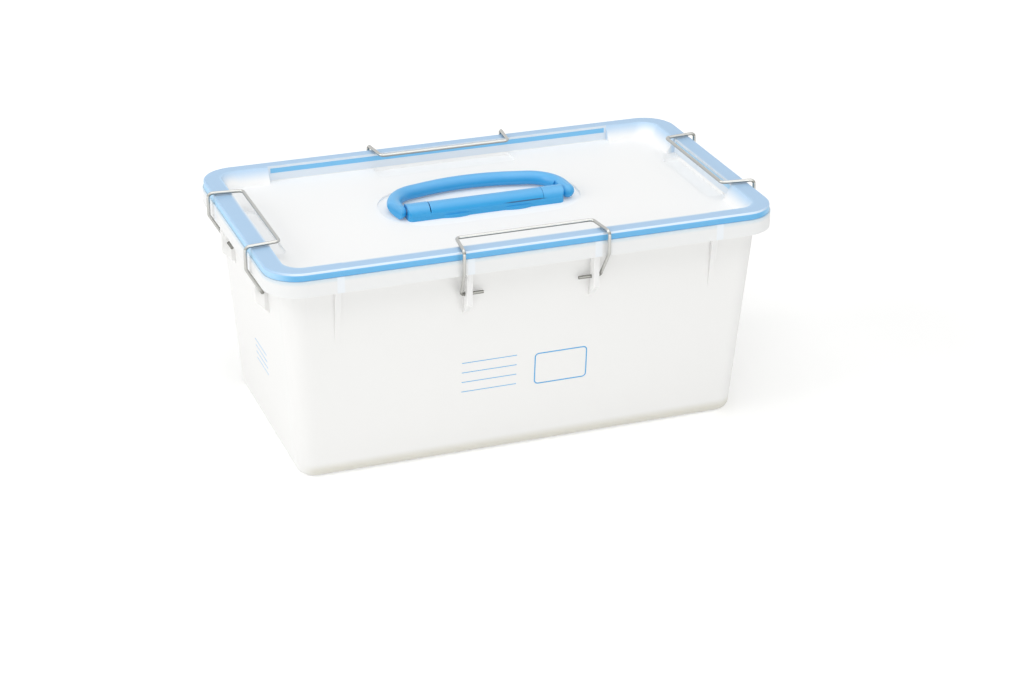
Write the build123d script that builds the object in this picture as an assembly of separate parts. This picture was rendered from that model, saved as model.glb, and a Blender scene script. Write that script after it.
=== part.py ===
"""Clip-closed specimen transport box: tub, lid, ring seal, four wire clips and a folding carry handle.

The long side runs along X, the front faces -Y and the box stands on Z = 0, centred on the origin.
An inset is measured inwards from the lid's outer edge; a negative inset stands outside that edge.
"""
from build123d import *
import os

# Lid, as seen from above
lid_length = 400.0
lid_width = 228.0
lid_corner = 26.0
box_height = 178.0  # floor to the top of the lid's rim

# Lid section
rim_plate = 1.6  # the plate over the seal
rim_edge_round = 1.4
rim_width_long = 11.0  # rim along the long sides
rim_width_short = 14.0  # rim along the short sides
recess_depth = 12.0
recess_corner = 14.0
ramp_run = 7.0  # how far the recess wall leans in near the corners
plug_wall = 2.0
panel_thick = 2.4
window_half_long = 145.0  # half length of the upright stretch of the recess wall, long sides
window_half_short = 55.0
window_height = 4.0
window_end_margin = 2.0

# Finger pockets under the clip bars, and the oval seat of the handle
pocket_depth = 2.5
pocket_corner = 5.0
pocket_long = (116.0, 21.0)
pocket_short = (16.0, 90.0)
seat_size = (162.0, 81.0)
seat_corner = 38.0
seat_centre_y = 9.5
seat_depth = 1.8

# Ring seal
seal_height = 4.4
seal_gap = 0.2  # the seal stands this far over the tub's flange

# Tub
tub_wall = 2.4
tub_floor = 2.8
plug_clearance = 0.6  # between the lid's plug and the tub's mouth
ledge_clearance = 1.1  # between the pockets' undersides and the tub's ledge
ledge_rise = 3.0
ledge_width = 4.6
mouth_corner = 20.0
body_corner_top = 17.0
body_corner_bottom = 14.0
body_inset_bottom = 22.0
floor_edge_round = 8.0
flange_thick = 2.4
flange_proud = 1.0
skirt_height = 12.3
skirt_thick = 2.2

# Clips
wire_diameter = 2.6
wire_gap = 0.9  # between the wire and the rim
clip_out = 4.6  # the leg's centre line outside the lid's edge
clip_span = 26.7  # from the leg's centre line in to the bar's
pivot_inset = 7.9
pivot_drop = 39.4  # below the wire's centre line over the rim
leg_straight = 17.6
bar_half = 54.1
shoulder_half = 57.0
bend_radius = 3.6
hook_radius = 2.6
hook_tail = 10.2  # what shows past the lug
hook_side_gap = 1.5

# Lugs and ribs on the tub's walls
lug_half_spacing = 50.25
lug_thick = 4.3
lug_edge = 5.4  # material outside the pivot
lug_drop = 7.6  # from the pivot down to where the lug's edge turns in
lug_tail = 11.0  # from there down to the wall
lug_bore_clearance = 0.08
rib_half_spacing = 149.2
rib_thick = 4.2
rib_reach = 4.4
rib_bottom = 113.0
rib_tail = 1.0

# Handle
handle_x = -1.2
handle_y = -5.4
base_half_length = 63.8
base_width = 17.5
base_height = 11.5
base_end_round = 4.0
base_floor = 2.6
base_rail_height = 5.5  # the side rails that the cover sits on
base_rail_width = 2.9
block_length = 17.2
core_width = 7.0
core_height = 8.0
core_end_gap = 4.0
cover_wall = 2.0
cover_gap = 0.6  # at each end of the cover, before it is slid along
cover_slide = 0.35  # the cover sits this much nearer the right end block
cover_inset = 0.25  # the cover stands this much inside the base's outline
wave_offset = 25.0
wave_radius = 30.0
wave_proud = 2.0
wave_height = 2.6
pivot_lift = 6.1
grip_diameter = 11.0
grip_half_width = 69.0  # centre lines of the arms at the pivot
grip_shoulder_out = -0.5
grip_shoulder_reach = 32.5
grip_crown_reach = 48.8
grip_shoulder_round = 28.0
grip_crown_round = 150.0
knuckle_gap = 0.6
heel_start = 14.8  # behind the pivot, where the left arm's outer face starts to lean in
heel_inset = 0.5
heel_lean = 14.7  # degrees
pin_diameter = 4.0
pin_head_diameter = 5.0
pin_head_length = 2.0
pin_reach = 4.2  # into the grip's knuckle
pin_clearance = 0.06

# Handle screws, driven up from inside the box
screw_places = (-36.0, -13.0, 13.0, 36.0)
screw_diameter = 3.2
screw_bite = 6.5
screw_head_diameter = 6.4
screw_head_height = 2.2
screw_head_round = 0.7
washer_thick = 1.0
washer_diameter = 8.0
screw_clearance = 0.05

# Heights that follow
plate_bottom = box_height - rim_plate
seal_bottom = plate_bottom - seal_height
flange_top = seal_bottom - seal_gap
panel_top = box_height - recess_depth
panel_bottom = panel_top - panel_thick
pocket_bottom = panel_bottom - pocket_depth
ledge_top = pocket_bottom - ledge_clearance
ledge_bottom = ledge_top - ledge_rise
skirt_bottom = flange_top - skirt_height
seat_top = panel_top - seat_depth
seat_bottom = seat_top - panel_thick

# Insets that follow
mouth_inner = rim_width_long - plug_wall - plug_clearance
mouth_outer = mouth_inner - tub_wall
body_inset_top = mouth_outer + ledge_width

# Clip lines that follow
wire_radius = wire_diameter / 2
wire_top = box_height + wire_gap + wire_radius
pivot_z = wire_top - pivot_drop
shoulder_z = wire_top - leg_straight
hook_half = lug_half_spacing + lug_thick / 2 + hook_side_gap + wire_radius
tip_half = lug_half_spacing - lug_thick / 2 - hook_tail

# Handle lines that follow
handle_pivot_z = seat_top + pivot_lift
knuckle_start = base_half_length + knuckle_gap
block_inner = base_half_length - block_length

MID_XY = (Align.CENTER, Align.CENTER, Align.MIN)


def slab(inset_x, inset_y, corner, low, high):
    """An upright plate with the lid's outline, set in from its edge."""
    face = RectangleRounded(lid_length - 2 * inset_x, lid_width - 2 * inset_y, corner)
    return Pos(0, 0, low) * extrude(face, high - low)


def flare(inset_low, corner_low, low, inset_high, corner_high, high):
    """A block whose four walls lean from one inset to another; each inset is an (x, y) pair."""
    sections = []
    for (inset_x, inset_y), corner, z in ((inset_low, corner_low, low), (inset_high, corner_high, high)):
        face = RectangleRounded(lid_length - 2 * inset_x, lid_width - 2 * inset_y, corner)
        sections.append(Pos(0, 0, z) * face)
    return loft(sections, ruled=True)


def block(width, depth, low, high, x=0.0, y=0.0):
    """A plain block between two heights."""
    return Pos(x, y, low) * Box(width, depth, high - low, align=MID_XY)


def each_side(make):
    """The same thing on the front, right, back and left sides: make(half_side) builds it on the front."""
    places = []
    for turn, reach in ((0, lid_width / 2), (90, lid_length / 2), (180, lid_width / 2), (270, lid_length / 2)):
        places.append(Rot(0, 0, turn) * make(reach))
    return places


def body_inset(z):
    """The inset of the tub's outer wall at a height under the ledge."""
    return body_inset_bottom + (body_inset_top - body_inset_bottom) * z / ledge_bottom


def tub_block(grow, low):
    """The tub's outline as a solid block from low up to the flange, shrunk by grow."""
    inset_low = body_inset(low) + grow
    body = flare((inset_low, inset_low), body_corner_bottom, low,
                 (body_inset_top + grow, body_inset_top + grow), body_corner_top, ledge_bottom)
    edge_round = floor_edge_round - grow
    body = fillet(body.edges().group_by(Axis.Z)[0], edge_round)
    ledge = flare((body_inset_top + grow, body_inset_top + grow), body_corner_top, ledge_bottom,
                  (mouth_outer + grow, mouth_outer + grow), mouth_corner, ledge_top)
    return body + ledge + slab(mouth_outer + grow, mouth_outer + grow, mouth_corner, ledge_top, flange_top)


def rib_face(reach, outer_inset, foot_z, tail):
    """The side view of an upright rib on the front wall, from the flange down, as a face in the YZ plane."""
    half = tub_wall / 2
    skirt_inner = skirt_thick - flange_proud - skirt_thick / 2
    points = [
        (reach - mouth_outer - half, flange_top - flange_thick / 2),
        (reach - skirt_inner, flange_top - flange_thick / 2),
        (reach - skirt_inner, skirt_bottom + skirt_thick / 2),
        (reach - outer_inset(skirt_bottom), skirt_bottom + skirt_thick / 2),
        (reach - outer_inset(foot_z), foot_z),
        (reach - body_inset(foot_z - tail) - half, foot_z - tail),
        (reach - body_inset_top - half, ledge_bottom),
        (reach - mouth_outer - half, ledge_top),
    ]
    return Plane(origin=(0, 0, 0), x_dir=(0, -1, 0), z_dir=(-1, 0, 0)) * make_face(Polyline(*points, close=True))


def lug_on(reach):
    """The two lugs that carry one clip."""
    outline = rib_face(reach, lambda z: pivot_inset - lug_edge, pivot_z - lug_drop, lug_tail)
    lug = extrude(outline, lug_thick / 2, both=True)
    return Pos(-lug_half_spacing, 0, 0) * lug + Pos(lug_half_spacing, 0, 0) * lug


def lug_bore_on(reach):
    """The bore through both lugs of one side."""
    length = 2 * lug_half_spacing + 2 * lug_thick
    bore = Cylinder(wire_radius + lug_bore_clearance, length)
    return Pos(0, pivot_inset - reach, pivot_z) * Rot(0, 90, 0) * bore


def stiffening_ribs():
    """The two plain ribs on each long wall, which run out to nothing at the foot."""
    def outer(z):
        return body_inset(min(z, ledge_bottom)) - rib_reach * (z - rib_bottom) / (skirt_bottom - rib_bottom)
    rib = extrude(rib_face(lid_width / 2, outer, rib_bottom + rib_tail, rib_tail), rib_thick / 2, both=True)
    pair = Pos(-rib_half_spacing, 0, 0) * rib + Pos(rib_half_spacing, 0, 0) * rib
    return pair + Rot(0, 0, 180) * pair


def make_tub():
    """The tub, with its flange, skirt, lugs and ribs."""
    proud = -flange_proud
    corner = lid_corner + flange_proud
    inner = proud + skirt_thick
    shell = tub_block(0.0, 0.0)
    rim = slab(proud, proud, corner, flange_top - flange_thick, flange_top)
    skirt = slab(proud, proud, corner, skirt_bottom, flange_top)
    skirt -= slab(inner, inner, corner - skirt_thick, skirt_bottom, flange_top - flange_thick)
    tub = shell + rim + skirt
    for lugs in each_side(lug_on):
        tub += lugs
    tub += stiffening_ribs()
    tub -= tub_block(tub_wall, tub_floor)
    for bore in each_side(lug_bore_on):
        tub -= bore
    return tub


def basin(grow, low, high):
    """The lid's recess as a block, or its outer shell with grow: leaning corners, upright middle stretches."""
    ramp_long = rim_width_long + ramp_run - grow
    ramp_short = rim_width_short + ramp_run - grow
    rim_long = rim_width_long - grow
    rim_short = rim_width_short - grow
    leaning = flare((ramp_short, ramp_long), recess_corner, low, (rim_short, rim_long), recess_corner, high)
    along = block(2 * (window_half_long + grow), lid_width - 2 * rim_long, low, high)
    across = block(lid_length - 2 * rim_short, 2 * (window_half_short + grow), low, high)
    return leaning + along + across


def windows(depth):
    """The four openings in the recess wall where the seal shows, depth deep from the seal's inner face."""
    low = plate_bottom - window_height
    y = lid_width / 2 - rim_width_long + plug_wall - depth / 2
    x = lid_length / 2 - rim_width_short + plug_wall - depth / 2
    length = 2 * (window_half_long - window_end_margin)
    width = 2 * (window_half_short - window_end_margin)
    pieces = []
    for side in (-1, 1):
        pieces.append(block(length, depth, low, plate_bottom, y=side * y))
        pieces.append(block(depth, width, low, plate_bottom, x=side * x))
    return pieces


def pockets(grow, low, high):
    """The four finger pockets under the clip bars."""
    y = lid_width / 2 - rim_width_long - pocket_long[1] / 2
    x = lid_length / 2 - rim_width_short - pocket_short[0] / 2
    pieces = []
    for side in (-1, 1):
        for (size_x, size_y), place in ((pocket_long, (0, side * y)), (pocket_short, (side * x, 0))):
            face = RectangleRounded(size_x + 2 * grow, size_y + 2 * grow, pocket_corner + grow)
            pieces.append(Pos(place[0], place[1], low) * extrude(face, high - low))
    return pieces


def seat(grow, low, high):
    """The shallow oval that the handle stands in, as a block."""
    face = RectangleRounded(seat_size[0] + 2 * grow, seat_size[1] + 2 * grow, seat_corner + grow)
    return Pos(0, seat_centre_y, low) * extrude(face, high - low)


def make_lid():
    """The lid: rim plate, plug, recessed panel, pockets and the handle's seat."""
    plate = slab(0, 0, lid_corner, plate_bottom, box_height)
    plate = fillet(plate.edges().group_by(Axis.Z)[-1], rim_edge_round)
    lid = plate + basin(plug_wall, panel_bottom, box_height)
    for under in pockets(plug_wall, pocket_bottom, panel_top):
        lid += under
    lid += seat(plug_wall, seat_bottom, panel_top)
    lid -= basin(0.0, panel_top, box_height)
    for pocket in pockets(0.0, panel_top - pocket_depth, panel_top):
        lid -= pocket
    for window in windows(2 * plug_wall):
        lid -= window
    lid -= seat(0.0, seat_top, panel_top)
    for x in screw_places:
        hole = Cylinder(screw_diameter / 2 + screw_clearance, recess_depth)
        lid -= Pos(handle_x + x, handle_y, panel_top) * hole
    return lid


def make_seal():
    """The ring seal, which fills the rim and shows through the windows."""
    seal = slab(0, 0, lid_corner, seal_bottom, plate_bottom)
    seal -= basin(plug_wall, panel_bottom, box_height)
    for pad in windows(plug_wall):
        seal += pad
    return seal


def make_clip(reach):
    """One bent wire clip, closed, on the front side."""
    leg_y = -(reach + clip_out)
    bar_y = leg_y + clip_span
    hook_y = pivot_inset - reach
    half = [
        (tip_half, hook_y, pivot_z),
        (hook_half, hook_y, pivot_z),
        (shoulder_half, leg_y, shoulder_z),
        (shoulder_half, leg_y, wire_top),
        (bar_half, bar_y, wire_top),
    ]
    points = half + [(-x, y, z) for x, y, z in reversed(half)]
    radii = [hook_radius, bend_radius, bend_radius, bend_radius]
    path = FilletPolyline(*points, radius=radii + radii[::-1])
    section = Plane(origin=path @ 0, z_dir=path % 0) * Circle(wire_radius)
    return sweep(section, path=path)


def bar_end_view(width, height):
    """A half-round bar's end view: a flat foot under a round top, as a face in the YZ plane."""
    straight = height - width / 2
    outline = [
        Line((-width / 2, 0), (width / 2, 0)),
        Line((width / 2, 0), (width / 2, straight)),
        ThreePointArc((width / 2, straight), (0, height), (-width / 2, straight)),
        Line((-width / 2, straight), (-width / 2, 0)),
    ]
    return Plane.YZ * make_face(outline)


def half_round(width, height, half_length):
    """A half-round bar along X, in the handle's own place: centred on its foot."""
    return Pos(-half_length, 0, 0) * extrude(bar_end_view(width, height), 2 * half_length)


def on_seat(shape):
    """Moves a shape from the handle's own place onto the lid's seat."""
    return Pos(handle_x, handle_y, seat_top) * shape


def make_base():
    """The handle's base: floor, side rails, end blocks, the core that takes the screws, and the bores."""
    outline = extrude(RectangleRounded(2 * base_half_length, base_width, base_end_round), base_height)
    base = half_round(base_width, base_height, base_half_length) & outline
    base -= block(2 * block_inner, base_width, base_rail_height, base_height)
    base -= block(2 * block_inner, base_width - 2 * base_rail_width, base_floor, base_height)
    strip = block(2 * base_half_length, 2 * wave_proud, 0, wave_height, y=-base_width / 2)
    for side in (-1, 1):
        wave = Cylinder(wave_radius, wave_height, align=MID_XY)
        base += Pos(side * wave_offset, wave_radius - wave_proud - base_width / 2, 0) * wave & strip
    base += block(2 * (block_inner - core_end_gap), core_width, 0, core_height)
    for x in screw_places:
        base -= Pos(x, 0, 0) * Cylinder(screw_diameter / 2 + screw_clearance, screw_bite, align=MID_XY)
    bore = Cylinder(pin_diameter / 2 + pin_clearance, 2 * knuckle_start)
    return on_seat(base - Pos(0, 0, pivot_lift) * Rot(0, 90, 0) * bore)


def make_cover():
    """The half-round cover between the end blocks, which hides the screws and the pins' heads."""
    end = block_inner - cover_gap
    inner = cover_inset + cover_wall
    cover = half_round(base_width - 2 * cover_inset, base_height - cover_inset, end)
    cover -= half_round(base_width - 2 * inner, base_height - inner, end)
    cover &= block(2 * end, base_width, base_rail_height, base_height)
    return on_seat(Pos(cover_slide, 0, 0) * cover)


def make_grip():
    """The D-shaped grip, lying flat towards the back, with rounded and bored arm ends."""
    half = [
        (grip_half_width, 0, 0),
        (grip_half_width + grip_shoulder_out, grip_shoulder_reach, 0),
    ]
    points = half + [(0, grip_crown_reach, 0)] + [(-x, y, z) for x, y, z in reversed(half)]
    radii = [grip_shoulder_round, grip_crown_round, grip_shoulder_round]
    path = FilletPolyline(*points, radius=radii)
    grip = sweep(Plane(origin=path @ 0, z_dir=path % 0) * Circle(grip_diameter / 2), path=path)
    for side in (-1, 1):
        grip += Pos(side * grip_half_width, 0, 0) * Sphere(grip_diameter / 2)
    relief_back = base_width / 2 + knuckle_gap + grip_diameter / 2
    relief_depth = relief_back + grip_diameter
    relief = Box(2 * knuckle_start, relief_depth, 2 * grip_diameter)
    grip -= Pos(0, relief_back - relief_depth / 2, 0) * relief
    heel = Box(grip_diameter, 4 * grip_diameter, 2 * grip_diameter, align=(Align.MAX, Align.CENTER, Align.CENTER))
    heel_x = grip_half_width + grip_diameter / 2 - heel_inset
    grip -= Pos(-heel_x, heel_start, 0) * Rot(0, 0, heel_lean) * heel
    bore = Cylinder(pin_diameter / 2 + pin_clearance, 2 * (knuckle_start + pin_reach + knuckle_gap))
    grip -= Rot(0, 90, 0) * bore
    return Pos(handle_x, handle_y, handle_pivot_z) * grip


def make_pin(side):
    """One hinge pin of the handle: its head is under the cover, its end in the grip's knuckle."""
    length = knuckle_start + pin_reach - block_inner
    shank = Cylinder(pin_diameter / 2, length, align=MID_XY)
    head = Pos(0, 0, -pin_head_length) * Cylinder(pin_head_diameter / 2, pin_head_length, align=MID_XY)
    return Pos(handle_x + side * block_inner, handle_y, handle_pivot_z) * Rot(0, 90 * side, 0) * (shank + head)


def make_screws():
    """The four handle screws."""
    screws = []
    under = seat_bottom - washer_thick
    for x in screw_places:
        shank = Cylinder(screw_diameter / 2, seat_top + screw_bite - under, align=MID_XY)
        head = Cylinder(screw_head_diameter / 2, screw_head_height, align=MID_XY)
        head = fillet(head.edges().group_by(Axis.Z)[0], screw_head_round)
        screws.append(Pos(handle_x + x, handle_y, under) * (shank + Pos(0, 0, -screw_head_height) * head))
    return Compound(children=screws)


def make_washers():
    """The rubber washers that seal the screw holes under the panel."""
    washers = []
    for x in screw_places:
        ring = Cylinder(washer_diameter / 2, washer_thick, align=MID_XY)
        ring -= Cylinder(screw_diameter / 2 + screw_clearance, washer_thick, align=MID_XY)
        washers.append(Pos(handle_x + x, handle_y, seat_bottom - washer_thick) * ring)
    return Compound(children=washers)


long_clip = make_clip(lid_width / 2)
short_clip = make_clip(lid_length / 2)

parts = {
    "tub_body": make_tub(),
    "lid_panel": make_lid(),
    "lid_seal": make_seal(),
    "clip_front": long_clip,
    "clip_right": Rot(0, 0, 90) * short_clip,
    "clip_back": Rot(0, 0, 180) * long_clip,
    "clip_left": Rot(0, 0, 270) * short_clip,
    "handle_base": make_base(),
    "handle_cover": make_cover(),
    "handle_grip": make_grip(),
    "handle_pin_left": make_pin(-1),
    "handle_pin_right": make_pin(1),
    "handle_screws": make_screws(),
    "screw_washers": make_washers(),
}

os.makedirs("parts", exist_ok=True)
for name, shape in parts.items():
    export_step(shape, f"parts/{name}.step")
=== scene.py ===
"""The looks of a clip-closed specimen transport box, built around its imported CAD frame.

The file is laid out as an add-on: one operator makes each group of pieces, from sizes and colours in its own
property group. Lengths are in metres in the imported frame: X along the box, the front facing -Y, Z up from the
floor. An inset is measured inwards from the lid's outer edge, unless its comment names another outline.
"""
import math

import bpy
from bpy.props import FloatProperty, FloatVectorProperty, IntProperty, PointerProperty
from mathutils import Matrix, Vector


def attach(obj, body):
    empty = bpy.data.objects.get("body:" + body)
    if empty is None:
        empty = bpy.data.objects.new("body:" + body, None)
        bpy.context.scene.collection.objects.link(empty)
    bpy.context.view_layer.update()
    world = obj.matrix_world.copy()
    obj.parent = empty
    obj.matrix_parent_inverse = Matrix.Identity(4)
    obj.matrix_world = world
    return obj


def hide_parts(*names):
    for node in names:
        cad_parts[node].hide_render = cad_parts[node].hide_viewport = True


bl_info = {
    "name": "Specimen transport box",
    "version": (1, 0, 0),
    "blender": (4, 5, 0),
    "location": "View3D > Sidebar > Transport box",
    "description": "Dresses a clip-closed transport box with a folding carry handle",
    "category": "Object",
}

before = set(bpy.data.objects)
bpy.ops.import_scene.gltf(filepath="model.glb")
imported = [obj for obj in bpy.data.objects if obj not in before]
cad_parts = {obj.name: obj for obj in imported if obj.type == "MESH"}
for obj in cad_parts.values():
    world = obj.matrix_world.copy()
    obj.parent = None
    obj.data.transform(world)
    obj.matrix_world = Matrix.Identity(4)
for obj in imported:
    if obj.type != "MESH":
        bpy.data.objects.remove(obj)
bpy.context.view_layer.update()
MM = 0.001

# The lid's outline and the box's levels
LID_HALF = (200 * MM, 114 * MM)
LID_CORNER = 26 * MM
RIM_WIDTH = (14 * MM, 11 * MM)  # along the short sides and the long sides
RECESS_CORNER = 14 * MM
WINDOW_HALF = (145 * MM, 55 * MM)  # half the upright stretches of the recess wall
PANEL_TOP = 166 * MM
FLANGE_TOP = 172 * MM
SKIRT_BOTTOM = 159.7 * MM
LEDGE_BOTTOM = 157 * MM
WALL_INSET = (22 * MM, 10.6 * MM)  # the tub's wall at the floor and at the ledge
LUG_SPACING = 50.25 * MM
RIB_SPACING = 149.2 * MM

# The camera, fitted to the photograph
VIEW_AZIMUTH = -20.3557
VIEW_ELEVATION = 24.8403
VIEW_ROLL = 0.285
VIEW_DISTANCE = 1.9188612
VIEW_OFFSET = (0.0229441, 0.0434096)
VIEW_FOCAL = 2377.1519  # in pixels of a 1024-pixel-wide frame
FRAME_PIXELS = 1024
SENSOR_WIDTH = 36.0

BLACK = (0.0, 0.0, 0.0)
WHITE = (1.0, 1.0, 1.0)


# --------------------------------------------------------------------------------------------------
# Node helpers

def put(tree, kind, inputs=None, **settings):
    """Adds a node. An input that is a socket is linked, and any other value is set."""
    node = tree.nodes.new(kind)
    for key, value in settings.items():
        setattr(node, key, value)
    for key, value in (inputs or {}).items():
        socket = node.inputs[key]
        if isinstance(value, bpy.types.NodeSocket):
            tree.links.new(value, socket)
        else:
            socket.default_value = value
    return node


def calc(tree, operation, a, b=0.0, c=0.0, clamp=False):
    """The result of a Math node."""
    return put(tree, "ShaderNodeMath", {0: a, 1: b, 2: c}, operation=operation, use_clamp=clamp).outputs[0]


def step(tree, value, low, high):
    """0 below low, 1 above high, and smooth between. low may be the larger one."""
    return put(tree, "ShaderNodeMapRange", {"Value": value, "From Min": low, "From Max": high},
               interpolation_type="SMOOTHSTEP").outputs[0]


def band(tree, value, centre, half, soft):
    """1 where value is within half of centre, falling to 0 over soft."""
    away = calc(tree, "ABSOLUTE", calc(tree, "SUBTRACT", value, centre))
    return step(tree, away, half + soft, half)


def blend(tree, factor, a, b):
    """A mix of two colours."""
    node = put(tree, "ShaderNodeMix", data_type="RGBA")
    for socket, value in ((node.inputs[0], factor), (node.inputs[6], a), (node.inputs[7], b)):
        if isinstance(value, bpy.types.NodeSocket):
            tree.links.new(value, socket)
        else:
            socket.default_value = (*value[:3], 1.0) if hasattr(value, "__len__") else value
    return node.outputs[2]


def new_group(name, inputs, outputs):
    """An empty shader node group with float inputs (name, default) and outputs (name, kind)."""
    tree = bpy.data.node_groups.new(name, "ShaderNodeTree")
    for label, default in inputs:
        socket = tree.interface.new_socket(label, in_out="INPUT", socket_type="NodeSocketFloat")
        socket.default_value = default
    for label, kind in outputs:
        tree.interface.new_socket(label, in_out="OUTPUT", socket_type=kind)
    return tree, tree.nodes.new("NodeGroupInput").outputs, tree.nodes.new("NodeGroupOutput").inputs


def use_group(tree, group, **inputs):
    """Places a shader group; an underscore in a name stands for a space."""
    node = tree.nodes.new("ShaderNodeGroup")
    node.node_tree = group
    for key, value in inputs.items():
        socket = node.inputs[key.replace("_", " ")]
        if isinstance(value, bpy.types.NodeSocket):
            tree.links.new(value, socket)
        else:
            socket.default_value = value
    return node.outputs


def outline_group():
    """How far a point lies inside a rounded rectangle that is centred on the box."""
    tree, given, result = new_group("Inset from outline",
                                    [("Half X", 0.2), ("Half Y", 0.1), ("Corner", 0.02)],
                                    [("Inset", "NodeSocketFloat")])
    place = put(tree, "ShaderNodeTexCoord").outputs["Object"]
    axes = put(tree, "ShaderNodeSeparateXYZ", {0: place}).outputs
    over = []
    for axis, half in ((axes[0], given["Half X"]), (axes[1], given["Half Y"])):
        straight = calc(tree, "SUBTRACT", half, given["Corner"])
        over.append(calc(tree, "SUBTRACT", calc(tree, "ABSOLUTE", axis), straight))
    squares = [calc(tree, "POWER", calc(tree, "MAXIMUM", value, 0.0), 2.0) for value in over]
    round_part = calc(tree, "SQRT", calc(tree, "ADD", squares[0], squares[1]))
    flat_part = calc(tree, "MINIMUM", calc(tree, "MAXIMUM", over[0], over[1]), 0.0)
    beyond = calc(tree, "ADD", round_part, flat_part)
    tree.links.new(calc(tree, "SUBTRACT", given["Corner"], beyond), result["Inset"])
    return tree


def moulding_group():
    """Moulded plastic: slow shade drift from the melt's flow, a fine grain and the scuffs of handling."""
    tree, given, result = new_group("Moulded surface",
                                    [("Grain size", 0.0005), ("Grain depth", 0.00001), ("Roughness", 0.4),
                                     ("Drift", 0.02), ("Scuffs", 0.1)],
                                    [("Shade", "NodeSocketFloat"), ("Roughness", "NodeSocketFloat"),
                                     ("Normal", "NodeSocketVector")])
    place = put(tree, "ShaderNodeTexCoord").outputs["Object"]
    stretched = put(tree, "ShaderNodeMapping", {"Vector": place, "Scale": (1.0, 1.0, 0.35)}).outputs[0]
    flow = put(tree, "ShaderNodeTexNoise", {"Vector": stretched, "Scale": 14.0, "Detail": 3.0}).outputs[0]
    centred = calc(tree, "SUBTRACT", flow, 0.5)
    shade = calc(tree, "MULTIPLY_ADD", centred, given["Drift"], 1.0)
    tree.links.new(shade, result["Shade"])
    scratch = put(tree, "ShaderNodeMapping", {"Vector": place, "Rotation": (0.3, 0.5, 0.4),
                                              "Scale": (30.0, 900.0, 260.0)}).outputs[0]
    lines = put(tree, "ShaderNodeTexNoise", {"Vector": scratch, "Scale": 1.0, "Detail": 2.0}).outputs[0]
    scuffs = calc(tree, "MULTIPLY", step(tree, lines, 0.6, 0.74), given["Scuffs"])
    rough = calc(tree, "MULTIPLY_ADD", centred, 0.25, given["Roughness"])
    tree.links.new(calc(tree, "ADD", rough, scuffs, clamp=True), result["Roughness"])
    scale = calc(tree, "DIVIDE", 1.0, given["Grain size"])
    grain = put(tree, "ShaderNodeTexNoise", {"Vector": place, "Scale": scale, "Detail": 2.0}).outputs[0]
    bump = put(tree, "ShaderNodeBump", {"Strength": 0.5, "Distance": given["Grain depth"], "Height": grain})
    tree.links.new(bump.outputs[0], result["Normal"])
    return tree


def shared(name, build):
    """A shader group, built once."""
    return bpy.data.node_groups.get(name) or build()


def inset_from(tree, inset_x=0.0, inset_y=0.0, corner=LID_CORNER):
    """The inset from the lid's outline, moved in by two amounts."""
    return use_group(tree, shared("Inset from outline", outline_group), Half_X=LID_HALF[0] - inset_x,
                     Half_Y=LID_HALF[1] - inset_y, Corner=corner)["Inset"]


def new_material(name):
    """A material with its tree, its Principled BSDF, and the X, Y and Z of each point."""
    material = bpy.data.materials.new(name)
    material.use_nodes = True
    tree = material.node_tree
    shader = tree.nodes["Principled BSDF"]
    place = put(tree, "ShaderNodeTexCoord").outputs["Object"]
    return material, tree, shader, put(tree, "ShaderNodeSeparateXYZ", {0: place}).outputs


def finish_moulded(tree, shader, colour, grain_size, grain_depth, roughness, drift, scuffs):
    """Gives a Principled BSDF its colour and the shared moulded surface."""
    surface = use_group(tree, shared("Moulded surface", moulding_group), Grain_size=grain_size,
                        Grain_depth=grain_depth, Roughness=roughness, Drift=drift, Scuffs=scuffs)
    if not isinstance(colour, bpy.types.NodeSocket):
        plain_colour = put(tree, "ShaderNodeRGB").outputs[0]
        plain_colour.default_value = (*colour, 1.0)
        colour = plain_colour
    shaded = put(tree, "ShaderNodeVectorMath", {0: colour, 1: surface["Shade"]},
                 operation="MULTIPLY").outputs[0]
    tree.links.new(shaded, shader.inputs["Base Color"])
    tree.links.new(surface["Roughness"], shader.inputs["Roughness"])
    tree.links.new(surface["Normal"], shader.inputs["Normal"])


def paint_glow(tree, shader, mask, strength):
    """Paints a faint glow on the plastic where the mask is 1: painted light, not a lamp."""
    tree.links.new(blend(tree, mask, BLACK, WHITE), shader.inputs["Emission Color"])
    shader.inputs["Emission Strength"].default_value = strength


def seen_straight(tree):
    """1 for what the camera sees directly, in a reflection or through something clear."""
    path = put(tree, "ShaderNodeLightPath").outputs
    return calc(tree, "MAXIMUM", path["Is Camera Ray"],
                calc(tree, "MAXIMUM", path["Is Glossy Ray"], path["Is Transmission Ray"]))


def dress(node, material):
    """Gives a CAD node's object one material."""
    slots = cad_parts[node].data.materials
    slots.clear()
    slots.append(material)


def settings():
    """The sizes and colours of all the pieces."""
    return bpy.context.scene.transport_box


# --------------------------------------------------------------------------------------------------
# Settings

def colour_prop(name, description, default):
    """A colour setting."""
    return FloatVectorProperty(name=name, description=description, default=default, size=3, subtype="COLOR",
                               min=0.0, max=1.0)


def length_prop(name, description, default):
    """A length setting, in metres."""
    return FloatProperty(name=name, description=description, default=default, unit="LENGTH", min=0.0,
                         precision=5)


def strength_prop(name, description, default):
    """A strength that is zero or more."""
    return FloatProperty(name=name, description=description, default=default, min=0.0)


def gloss_prop(name, description, default):
    """A roughness, from mirror-like 0 to matt 1."""
    return FloatProperty(name=name, description=description, default=default, min=0.0, max=1.0)


def power_prop(name, description, default):
    """A lamp's power, in watts."""
    return FloatProperty(name=name, description=description, default=default, unit="POWER", min=0.0)


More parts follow.
